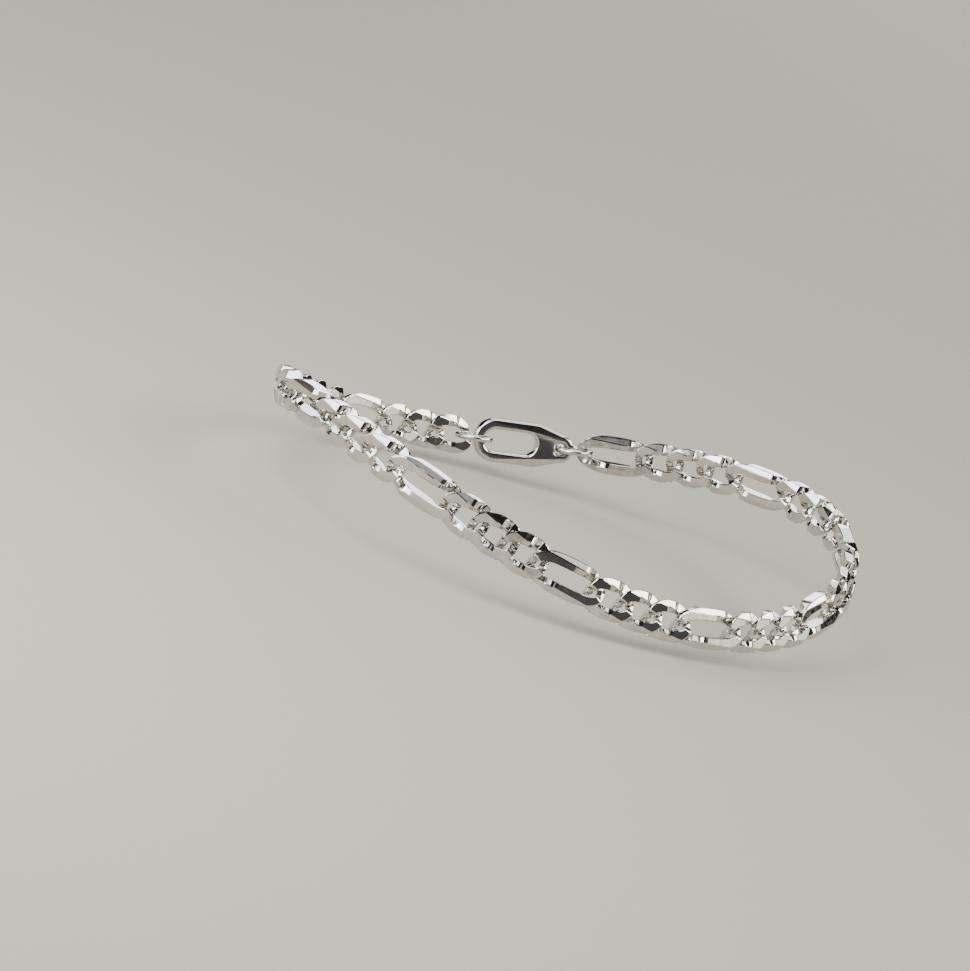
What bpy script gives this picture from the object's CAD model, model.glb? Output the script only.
import math

import bpy
from mathutils import Matrix, Vector


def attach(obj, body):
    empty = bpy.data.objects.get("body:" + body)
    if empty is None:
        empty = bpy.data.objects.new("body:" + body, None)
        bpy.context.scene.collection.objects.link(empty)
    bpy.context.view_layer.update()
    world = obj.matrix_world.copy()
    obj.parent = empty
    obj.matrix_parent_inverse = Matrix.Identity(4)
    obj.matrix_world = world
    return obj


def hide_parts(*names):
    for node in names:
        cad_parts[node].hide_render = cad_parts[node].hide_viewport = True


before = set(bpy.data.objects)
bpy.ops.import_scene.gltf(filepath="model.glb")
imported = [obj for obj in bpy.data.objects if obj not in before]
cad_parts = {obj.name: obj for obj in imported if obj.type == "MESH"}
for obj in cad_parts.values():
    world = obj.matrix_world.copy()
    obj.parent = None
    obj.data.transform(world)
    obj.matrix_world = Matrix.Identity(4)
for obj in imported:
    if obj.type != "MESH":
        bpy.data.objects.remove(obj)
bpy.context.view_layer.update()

MM = 0.001

# Short links: ovals of polished silver wire, their ends soldered shut. Each
# side lies level with the chain's face along one half, dives under the next
# link along the other, and has a bevel cut along its outer edge.
LINK_WIDTH = 4 * MM
SHORT_LENGTH = 5.25 * MM
CHAIN_THICKNESS = 1.6 * MM
HALF_THICKNESS = CHAIN_THICKNESS / 2

# The wire is wider along the sides than round the tips, and WIDTH_POWER says
# how soon it narrows. SQUARENESS is 2 for an ellipse and more for fuller ends.
SIDE_WIRE = 1.2 * MM
END_WIRE = 0.78 * MM
WIDTH_POWER = 1.5
SQUARENESS = 2.6

# The bevel along each outer edge starts this far from the link's middle line,
# and comes in by this share towards the end that dives.
SHORT_BEVEL = (1.25 * MM, 0.2)
BEVEL_SLOPE = 0.42
# The bevel starts at a ridge along the wire's top, which lies between these
# places across the wire, in half widths from its middle.
RIDGE_INNERMOST = -0.85
RIDGE_OUTERMOST = 0.82

# A side dives between these degrees round the link, and its inner edge starts
# to dive this many degrees sooner. The low part slopes down to the inside.
SHORT_DIVE = (66, 89)
INNER_LEAD = 16
INNER_SLOPE = 0.5
# Tops as shares of half the thickness: where a side has dived, and at the tips.
LOW_TOP = -0.3
TIP_TOP = 0.46
# A tip reaches this many degrees to each side, and falls this much inwards.
TIP_TURN = 16
TIP_FALL = 0.12 * MM

# Each link is drawn as stations round the oval, with a profile of six corners
# at each. Every corner is cut to a narrow flat.
STATIONS = 128
CORNERS = 6
EDGE_CUT = 0.06 * MM
POINTS = 2 * CORNERS
# Tarnish gathers on the wire's inner wall, and on the slopes beside it at the
# tips. These are the corners that bound them, each with the side of its cut.
INNER_WALL = ((3, 1), (4, 0))
INNER_SLOPES = ((2, 1), (3, 0), (4, 1), (5, 0))
TIP_TARNISH = 0.6
# Anything smaller than this counts as nought.
TINY = 1e-9


def clamp(value, low, high):
    return min(max(value, low), high)


def signed_power(value, power):
    return math.copysign(abs(value) ** power, value)


def ease(share):
    share = clamp(share, 0, 1)
    return share * share * (3 - 2 * share)


def near_tip(turn):
    """From 1 at a link's two tips to 0 along its sides."""
    return 1 - ease(min(turn % 180, 180 - turn % 180) / TIP_TURN)


def top_at(turn, dive):
    """The top's height as a share of half the thickness, at an angle from the tip where a side dives."""
    top = LOW_TOP + (1 - LOW_TOP) * ease((turn % 180 - dive[0]) / (dive[1] - dive[0]))
    return top + (TIP_TOP - top) * near_tip(turn)


def centre_line(turn, half_l, half_w):
    """The middle of the wire at an angle round the oval, the way outwards there, and the angle's sine."""
    c, s = math.cos(math.radians(turn)), math.sin(math.radians(turn))
    c, s = (0 if abs(value) < TINY else value for value in (c, s))
    middle = (half_l * signed_power(c, 2 / SQUARENESS), half_w * signed_power(s, 2 / SQUARENESS), 0)
    outward = (signed_power(c, 2 - 2 / SQUARENESS) / half_l, signed_power(s, 2 - 2 / SQUARENESS) / half_w, 0)
    return Vector(middle), Vector(outward).normalized(), s


def wire_at(turn, half_l, half_w, bevel, dive):
    """The wire's middle, outward direction and half width at an angle, and its top.

    The top is the ridge's place across the wire, and the heights of the outer
    edge, the ridge and the inner edge.
    """
    middle, outward, s = centre_line(turn, half_l, half_w)
    half_wire = (END_WIRE + (SIDE_WIRE - END_WIRE) * abs(s) ** WIDTH_POWER) / 2
    along_side = 1 - near_tip(turn)
    uncut = top_at(turn, dive) * HALF_THICKNESS
    sunk = clamp((1 - top_at(turn, dive)) / (1 - LOW_TOP), 0, 1) * along_side

    starts, comes_in = bevel
    ridge_y = starts - comes_in * middle.x * math.copysign(1, s)
    across = half_wire * abs(outward.y)
    ridge = (ridge_y - abs(middle.y)) / max(across, TINY)
    ridge = clamp(ridge, RIDGE_INNERMOST, RIDGE_OUTERMOST) * along_side
    past_ridge = max(abs(middle.y) + ridge * across - ridge_y, 0)
    height = min(uncut, HALF_THICKNESS - BEVEL_SLOPE * past_ridge)

    bevel_width = (1 - ridge) * half_wire
    outer = height - BEVEL_SLOPE * max(bevel_width * abs(outward.y), bevel_width / 2)
    inner_uncut = top_at(turn, (dive[0], dive[1] + INNER_LEAD)) * HALF_THICKNESS
    inner = min(inner_uncut - INNER_SLOPE * (1 + ridge) * half_wire * sunk, height)
    return middle, outward, half_wire, (ridge, outer, height, inner - TIP_FALL * near_tip(turn))


def bend_wire(name, length, bevel, dive):
    """One link, centred and lying along X, with its face up. Its back is its face turned over."""
    half_l, half_w = (length - END_WIRE) / 2, (LINK_WIDTH - SIDE_WIRE) / 2
    # A torus gives the closed ring and its UV map. Its points are then placed
    # one by one, because the wire's profile changes all the way round.
    bpy.ops.object.select_all(action="DESELECT")
    bpy.ops.mesh.primitive_torus_add(
        major_segments=STATIONS, minor_segments=POINTS, major_radius=half_w, minor_radius=END_WIRE / 2)
    link = bpy.context.object
    link.name = link.data.name = name
    hollow = link.data.attributes.new("hollow", "FLOAT", "POINT")
    turns = [360 * station / STATIONS for station in range(STATIONS)]
    wire = [wire_at(turn, half_l, half_w, bevel, dive) for turn in turns]
    for station in range(STATIONS):
        middle, outward, half_wire, (ridge, outer, height, inner) = wire[station]
        back_ridge, back_outer, back_height, back_inner = wire[-station % STATIONS][-1]
        profile = [
            (1, -back_outer), (1, outer), (ridge, height),
            (-1, inner), (-1, -back_inner), (back_ridge, -back_height),
        ]
        corners = [middle + outward * share * half_wire + Vector((0, 0, level)) for share, level in profile]
        for k, corner in enumerate(corners):
            for side, beside in enumerate((corners[k - 1], corners[(k + 1) % CORNERS])):
                point = station * POINTS + k * 2 + side
                link.data.vertices[point].co = corner + (beside - corner).normalized() * EDGE_CUT
                sloping = TIP_TARNISH * near_tip(turns[station]) if (k, side) in INNER_SLOPES else 0
                hollow.data[point].value = 1 if (k, side) in INNER_WALL else sloping
    # The edges that run along the wire stay crisp. From station to station it is smooth.
    bpy.ops.object.shade_smooth()
    for edge in link.data.edges:
        a, b = edge.vertices
        edge.use_edge_sharp = a % POINTS == b % POINTS
    return link


# The loop is as long as its chain, two jump rings and clasp. Each link is
# hooked over the wire of the last one, with a little play.
LONG_LENGTH = 8.25 * MM
HOOK_PLAY = 0.37 * MM
HOOK_DEPTH = 2 * END_WIRE + HOOK_PLAY
SHORTS_IN_ROW = 3
ROWS = 10
RING_BORE = 3 * MM
RING_WIRE = 0.6 * MM
RING_GAP = 0.18 * MM
CLASP_LENGTH = 11 * MM
CLASP_THICKNESS = 1.6 * MM
EYE_WALL = 0.9 * MM
WINDOW_WALL = 1.1 * MM

short_pitch, long_pitch = SHORT_LENGTH - HOOK_DEPTH, LONG_LENGTH - HOOK_DEPTH
row_length = SHORTS_IN_ROW * short_pitch + long_pitch


def ring_reach(thickness):
    """How far from a jump ring's middle a piece of this thickness reaches inside it."""
    return math.sqrt((RING_BORE / 2) ** 2 - (thickness / 2) ** 2) - RING_GAP


far_ring_at = ROWS * row_length + HOOK_DEPTH / 2 - END_WIRE + ring_reach(CHAIN_THICKNESS)
clasp_at = far_ring_at + ring_reach(CLASP_THICKNESS) - EYE_WALL
near_ring_at = clasp_at + CLASP_LENGTH - WINDOW_WALL + ring_reach(CLASP_THICKNESS)
loop_length = near_ring_at + ring_reach(CHAIN_THICKNESS) + HOOK_DEPTH / 2 - END_WIRE

# It lies along a closed oval path that rises and falls twice, with its face
# outwards and leaning. The clasp's middle is at a fixed turn round it.
INSIDE_WIDTH = 60.6 * MM
DRAPE = 3.4 * MM
DRAPE_TURN = math.radians(14.5)
FACE_LEAN = math.radians(18)
LEAN_TURN = math.radians(-45)
CLASP_TURN = math.radians(81.5)
PATH_STEPS = 240
HALVINGS = 30

half_across = (INSIDE_WIDTH + CHAIN_THICKNESS) / 2


def on_path(turn, half_depth):
    rise = DRAPE * math.cos(2 * (turn - DRAPE_TURN))
    return Vector((half_across * math.cos(turn), half_depth * math.sin(turn), rise))


def walked(half_depth):
    """The lengths along the path at each of its steps."""
    lengths = [0.0]
    for step in range(PATH_STEPS):
        here, there = (on_path(2 * math.pi * (step + more) / PATH_STEPS, half_depth) for more in (0, 1))
        lengths.append(lengths[-1] + (there - here).length)
    return lengths


# The oval's depth is found by halving, so that the path is as long as the loop.
shallow, deep = 0.0, loop_length / 2
for _ in range(HALVINGS):
    half_depth = (shallow + deep) / 2
    if walked(half_depth)[-1] > loop_length:
        deep = half_depth
    else:
        shallow = half_depth
path = walked(half_depth)

clasp_step = CLASP_TURN / (2 * math.pi) * PATH_STEPS
whole_steps = int(clasp_step)
clasp_middle = path[whole_steps] + (clasp_step % 1) * (path[whole_steps + 1] - path[whole_steps])
first_link_at = clasp_middle - (clasp_at + CLASP_LENGTH / 2)


def turn_at(s):
    """The angle round the loop at a length from the first link's start."""
    s = (s + first_link_at) % path[-1]
    step = max(k for k in range(PATH_STEPS) if path[k] <= s)
    return 2 * math.pi * (step + (s - path[step]) / (path[step + 1] - path[step])) / PATH_STEPS


def lie(start, end):
    """The place of a piece that lies along the path between two lengths, with its face outwards."""
    a, b = on_path(turn_at(start), half_depth), on_path(turn_at(end), half_depth)
    turn = turn_at((start + end) / 2)
    along = (b - a).normalized()
    face = Vector((math.cos(turn) / half_across, math.sin(turn) / half_depth, 0)).normalized()
    face += Vector((0, 0, math.tan(FACE_LEAN) * math.cos(turn - LEAN_TURN)))
    face = (face - along * face.dot(along)).normalized()
    across = face.cross(along)
    middle = (a + b) / 2
    return Matrix([[along[k], across[k], face[k], middle[k]] for k in range(3)] + [[0, 0, 0, 1]])


# Polished silver, cut and buffed: each flat is a little wavy, fine cutting
# lines run along the wire, and a faint haze of wear dulls it here and there.
# The lines are counted along and round a link, over its UV map.
LINES_ALONG = 5
LINES_ROUND = 140
LINE_DEPTH = 0.0007 * MM
LINE_DETAIL = 3
WAVE_WIDTH = 1.3 * MM
WAVE_DEPTH = 0.0035 * MM
WAVE_DETAIL = 1
HAZE_WIDTH = 0.5 * MM
HAZE_DETAIL = 4
# A noise keeps mostly between these values.
NOISE_LOW = 0.35
NOISE_HIGH = 0.68
BRIGHT_SILVER = (0.69, 0.675, 0.64, 1)
DULL_SILVER = (0.59, 0.575, 0.54, 1)
TARNISHED_SILVER = (0.42, 0.4, 0.36, 1)
BRIGHT_ROUGHNESS = 0.05
DULL_ROUGHNESS = 0.14

silver = bpy.data.materials.new("polished_silver")
silver.use_nodes = True
nodes, links = silver.node_tree.nodes, silver.node_tree.links
shader = nodes["Principled BSDF"]
shader.inputs["Metallic"].default_value = 1
places = nodes.new("ShaderNodeTexCoord")


def noise(scale, detail, coords):
    texture = nodes.new("ShaderNodeTexNoise")
    texture.inputs["Scale"].default_value = scale
    texture.inputs["Detail"].default_value = detail
    links.new(coords, texture.inputs["Vector"])
    return texture.outputs["Fac"]


def by_noise(mask, low, high):
    """Values from low to high, as a noise goes over the middle of its range."""
    spread = nodes.new("ShaderNodeMapRange")
    spread.inputs["From Min"].default_value = NOISE_LOW
    spread.inputs["From Max"].default_value = NOISE_HIGH
    spread.inputs["To Min"].default_value = low
    spread.inputs["To Max"].default_value = high
    links.new(mask, spread.inputs["Value"])
    return spread.outputs["Result"]


def fade(mask, colour):
    """A node that goes from its colour A to this colour with the mask."""
    mix = nodes.new("ShaderNodeMix")
    mix.data_type = "RGBA"
    mix.inputs["B"].default_value = colour
    links.new(mask, mix.inputs["Factor"])
    return mix


def bump(height, depth, under=None):
    relief = nodes.new("ShaderNodeBump")
    relief.inputs["Distance"].default_value = depth
    links.new(height, relief.inputs["Height"])
    if under:
        links.new(under, relief.inputs["Normal"])
    return relief.outputs["Normal"]


stretch = nodes.new("ShaderNodeMapping")
stretch.inputs["Scale"].default_value = (LINES_ALONG, LINES_ROUND, 1)
links.new(places.outputs["UV"], stretch.inputs["Vector"])
lines = noise(1, LINE_DETAIL, stretch.outputs["Vector"])
waves = noise(1 / WAVE_WIDTH, WAVE_DETAIL, places.outputs["Object"])
haze = noise(1 / HAZE_WIDTH, HAZE_DETAIL, places.outputs["Object"])
hollow = nodes.new("ShaderNodeAttribute")
hollow.attribute_name = "hollow"

wear = fade(by_noise(haze, 0, 1), DULL_SILVER)
wear.inputs["A"].default_value = BRIGHT_SILVER
tarnish = fade(hollow.outputs["Fac"], TARNISHED_SILVER)
links.new(wear.outputs["Result"], tarnish.inputs["A"])
links.new(tarnish.outputs["Result"], shader.inputs["Base Color"])
links.new(by_noise(haze, BRIGHT_ROUGHNESS, DULL_ROUGHNESS), shader.inputs["Roughness"])
links.new(bump(lines, LINE_DEPTH, bump(waves, WAVE_DEPTH)), shader.inputs["Normal"])


def hang(pattern, name, place):
    """A copy of a finished piece, with its own mesh, put in its place in the frame."""
    piece = pattern.copy()
    piece.data = pattern.data.copy()
    piece.name = piece.data.name = name + "_silver"
    bpy.context.collection.objects.link(piece)
    piece.data.transform(place)
    piece.data.materials.clear()
    piece.data.materials.append(silver)
    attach(piece, "root")
    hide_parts(name)


# A link in the chain swings a little to one side.
SHORT_SWING = math.radians(2)

short_pattern = bend_wire("short_pattern", SHORT_LENGTH, SHORT_BEVEL, SHORT_DIVE)
for row in range(ROWS):
    for k in range(SHORTS_IN_ROW):
        start = row * row_length + k * short_pitch
        place = lie(start, start + short_pitch) @ Matrix.Rotation(SHORT_SWING, 4, "Z")
        hang(short_pattern, f"short_link_{row * SHORTS_IN_ROW + k + 1:02d}", place)
bpy.data.objects.remove(short_pattern)

# Long links: the same silver wire, bent to a longer oval and soldered shut.
# One is hooked into the chain after every third short link.
LONG_BEVEL = (1.42 * MM, 0.05)
LONG_DIVE = (52, 74)
LONG_SWING = math.radians(1.5)

long_pattern = bend_wire("long_pattern", LONG_LENGTH, LONG_BEVEL, LONG_DIVE)
for row in range(ROWS):
    start = row * row_length + SHORTS_IN_ROW * short_pitch
    place = lie(start, start + long_pitch) @ Matrix.Rotation(LONG_SWING, 4, "Z")
    hang(long_pattern, f"long_link_{row + 1:02d}", place)
bpy.data.objects.remove(long_pattern)

# Jump rings: two round rings of drawn silver wire, out of sight in the photo.
# They stand across the chain's ends and join them to the clasp, and the solder
# at each ring's joint swells it a little.
RING_STATIONS = 96
RING_POINTS = 32
SEAM_WIDTH = 0.4 * MM
SEAM_SWELL = 0.025 * MM

ring_radius = (RING_BORE + RING_WIRE) / 2
bpy.ops.object.select_all(action="DESELECT")
bpy.ops.mesh.primitive_torus_add(
    major_segments=RING_STATIONS, minor_segments=RING_POINTS,
    major_radius=ring_radius, minor_radius=RING_WIRE / 2, rotation=(math.pi / 2, 0, 0))
bpy.ops.object.transform_apply(location=False, rotation=True, scale=False)
ring_pattern = bpy.context.object
bpy.ops.object.mode_set(mode="EDIT")
bpy.ops.mesh.select_all(action="DESELECT")
bpy.ops.object.mode_set(mode="OBJECT")
for vertex in ring_pattern.data.vertices:
    vertex.select = vertex.co.z > 0 and abs(vertex.co.x) < SEAM_WIDTH / 2
bpy.ops.object.mode_set(mode="EDIT")
bpy.ops.transform.shrink_fatten(value=SEAM_SWELL)
bpy.ops.object.mode_set(mode="OBJECT")
bpy.ops.object.shade_smooth()
for name, at in (("jump_ring_1", near_ring_at), ("jump_ring_2", far_ring_at)):
    hang(ring_pattern, name, lie(at - ring_radius, at + ring_radius))
bpy.data.objects.remove(ring_pattern)

# Clasp: one plain cast piece of silver, its rims rounded by tumbling, hooked
# into both jump rings. It is out of sight in the photo, and is made here from
# a copy of the CAD piece.
MERGE_DISTANCE = 0.001 * MM
FLAT_ANGLE = math.radians(1)
RIM_RADIUS = 0.3 * MM
RIM_STEPS = 4
RIM_ANGLE = math.radians(40)
SMOOTH_ANGLE = math.radians(30)

bpy.ops.object.select_all(action="DESELECT")
clasp = bpy.data.objects["clasp"].copy()
clasp.data = clasp.data.copy()
clasp.name = clasp.data.name = "clasp_pattern"
bpy.context.collection.objects.link(clasp)
bpy.context.view_layer.objects.active = clasp
clasp.select_set(True)
bpy.ops.object.mode_set(mode="EDIT")
bpy.ops.mesh.select_all(action="SELECT")
bpy.ops.mesh.remove_doubles(threshold=MERGE_DISTANCE)
bpy.ops.mesh.dissolve_limited(angle_limit=FLAT_ANGLE)
bpy.ops.uv.smart_project()
bpy.ops.object.mode_set(mode="OBJECT")
rims = clasp.modifiers.new("rims", "BEVEL")
rims.width = RIM_RADIUS
rims.segments = RIM_STEPS
rims.angle_limit = RIM_ANGLE
rims.use_clamp_overlap = False
bpy.ops.object.modifier_apply(modifier="rims")
bpy.ops.object.shade_smooth_by_angle(angle=SMOOTH_ANGLE)
hang(clasp, "clasp", Matrix())
bpy.data.objects.remove(clasp)

# Floor: one wide sheet of pale matt paper just below the bracelet, which
# keeps the form that it has when worn.
FLOOR_SIZE = 6
FLOOR_AT = -6.5 * MM
PAPER_COLOUR = (0.39, 0.352, 0.3, 1)
PAPER_ROUGHNESS = 0.9

bpy.ops.object.select_all(action="DESELECT")
bpy.ops.mesh.primitive_plane_add(size=FLOOR_SIZE, location=(0, 0, FLOOR_AT))
floor = bpy.context.object
floor.name = "floor"
paper = bpy.data.materials.new("paper")
paper.use_nodes = True
paper_shader = paper.node_tree.nodes["Principled BSDF"]
paper_shader.inputs["Base Color"].default_value = PAPER_COLOUR
paper_shader.inputs["Roughness"].default_value = PAPER_ROUGHNESS
floor.data.materials.append(paper)

# Lights: soft boxes and dim cards stand round the bracelet, warm on the right
# and cool on the left. The room stays dark between them, which is what gives
# polished silver its blacks.
NEUTRAL = (1, 1, 1)
CREAM = (1, 0.955, 0.85)
BLUISH = (0.93, 0.96, 1)
ROOM_GLOW = 0.02


def soft_box(name, turn, rise, across, tall, glow, tint=NEUTRAL, away=1.6):
    """A box of light turned to the bracelet, so many metres away.

    It is placed by degrees round the bracelet and up, and its size is given by
    the degrees that it fills, across and upright.
    """
    turn, rise = math.radians(turn), math.radians(rise)
    level = math.cos(rise)
    place = Vector((math.cos(turn) * level, math.sin(turn) * level, math.sin(rise))) * away
    lamp = bpy.data.lights.new(name, "AREA")
    lamp.shape = "RECTANGLE"
    lamp.size, lamp.size_y = (2 * away * math.tan(math.radians(spread) / 2) for spread in (across, tall))
    lamp.energy = glow * math.pi * lamp.size * lamp.size_y
    lamp.color = tint
    box = bpy.data.objects.new(name, lamp)
    box.location = place
    box.rotation_euler = (-place).to_track_quat("-Z", "Y").to_euler()
    bpy.context.collection.objects.link(box)


soft_box("right_box", turn=-22, rise=37, across=68, tall=22, glow=8, tint=CREAM)
soft_box("edge_box", turn=-64, rise=45, across=10, tall=16, glow=1.3)
soft_box("right_card", turn=-18, rise=9, across=46, tall=16, glow=1.8, tint=CREAM)
soft_box("left_box", turn=185, rise=14, across=70, tall=30, glow=6, tint=BLUISH, away=0.32)
soft_box("front_dim_card", turn=-75, rise=9.5, across=64, tall=18, glow=0.07)
soft_box("front_card", turn=-119, rise=35, across=34, tall=18, glow=0.55)
soft_box("floor_box", turn=-160, rise=48, across=34, tall=34, glow=9, tint=BLUISH, away=0.2)
soft_box("back_box", turn=90, rise=45, across=60, tall=24, glow=2.6)
soft_box("far_box", turn=66, rise=20, across=24, tall=24, glow=5, tint=BLUISH)
soft_box("top_box", turn=-90, rise=82, across=40, tall=30, glow=2.6, away=2)

world = bpy.data.worlds.new("room")
bpy.context.scene.world = world
world.use_nodes = True
world.node_tree.nodes["Background"].inputs["Color"].default_value = (ROOM_GLOW, ROOM_GLOW, ROOM_GLOW, 1)

# Camera: it looks as the photo does. Its place, its aim and the way up were
# fitted to the links that the photo shows.
FOCAL_PIXELS = 4000
FRAME_PIXELS = 970
SENSOR_WIDTH = 36
CLIP_START = 0.01
CAMERA_AT = Vector((-169.191, -352.906, 94.826)) * MM
LOOKS_AT = Vector((-7.204, 2.881, -2.13)) * MM
WAY_UP = Vector((-0.2304, 0.3521, 0.9072))

camera = bpy.data.objects.new("camera", bpy.data.cameras.new("camera"))
camera.data.lens = FOCAL_PIXELS / FRAME_PIXELS * SENSOR_WIDTH
camera.data.clip_start = CLIP_START
ahead = (LOOKS_AT - CAMERA_AT).normalized()
right = ahead.cross(WAY_UP).normalized()
above = right.cross(ahead)
axes = [[right[k], above[k], -ahead[k], CAMERA_AT[k]] for k in range(3)]
camera.matrix_world = Matrix(axes + [[0, 0, 0, 1]])
bpy.context.collection.objects.link(camera)
bpy.context.scene.camera = camera
